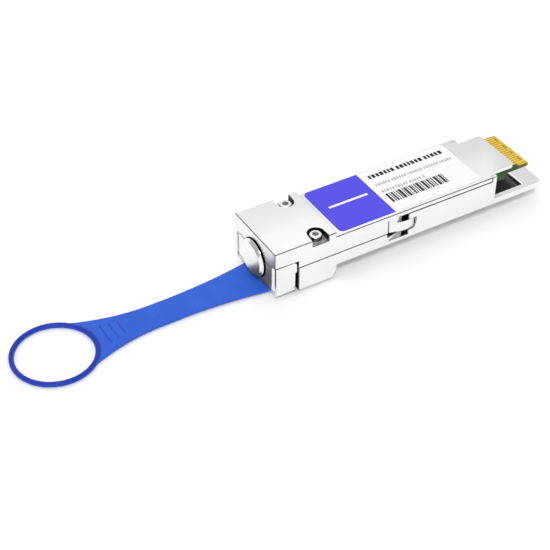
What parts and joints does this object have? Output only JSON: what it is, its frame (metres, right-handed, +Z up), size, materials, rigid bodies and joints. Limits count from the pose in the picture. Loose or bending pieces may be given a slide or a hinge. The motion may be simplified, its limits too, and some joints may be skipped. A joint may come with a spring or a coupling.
{
  "type": "pluggable loopback module",
  "caption": "Pluggable electrical loopback module: cast shell with a plugged nose port, printed label, side latch arms, gold card edge and a pull tab that slides the latch.",
  "frame": {"origin": "centre line of the body's underside, in the plane of the shoulder behind the head", "axes": "+X from the pull ring towards the card edge, +Z up through the label"},
  "size_m": [0.1394, 0.0204, 0.0139],
  "materials": {
    "cast_shell": "satin plated die casting",
    "plug_metal": "turned and plated",
    "screw_steel": "machined",
    "slider_steel": "stamped and polished",
    "spring_steel": "drawn wire",
    "board_green": "solder mask over glass laminate",
    "contact_gold": "gold plated",
    "chip_black": "moulded epoxy",
    "capacitor_tan": "fired ceramic with tinned ends",
    "resistor_dark": "glazed film with tinned ends",
    "label_film": "printed film with a blue field",
    "tab_blue": "moulded flexible plastic"
  },
  "bodies": {
    "module": {"lower_housing": "cast_shell", "upper_housing": "cast_shell", "label": "label_film", "cover_screws": "screw_steel", "port_plug": "plug_metal", "circuit_board": "board_green", "upper_contacts": "contact_gold", "lower_contacts": "contact_gold", "memory_chip": "chip_black", "coupling_capacitors": "capacitor_tan", "bypass_capacitors": "capacitor_tan", "pullup_resistors": "resistor_dark", "return_spring_left": "spring_steel", "return_spring_right": "spring_steel"},
    "latch": {"latch_slider": "slider_steel", "pull_tab": "tab_blue"}
  },
  "joints": [
    {"name": "latch_slide", "type": "slide", "parent": "module", "child": "latch", "axis": [-1, 0, 0], "range_m": [0, 0.003], "stiffness_N_per_m": 250, "springref_m": -0.002, "deforming": ["return_spring_left", "return_spring_right"]}
  ]
}
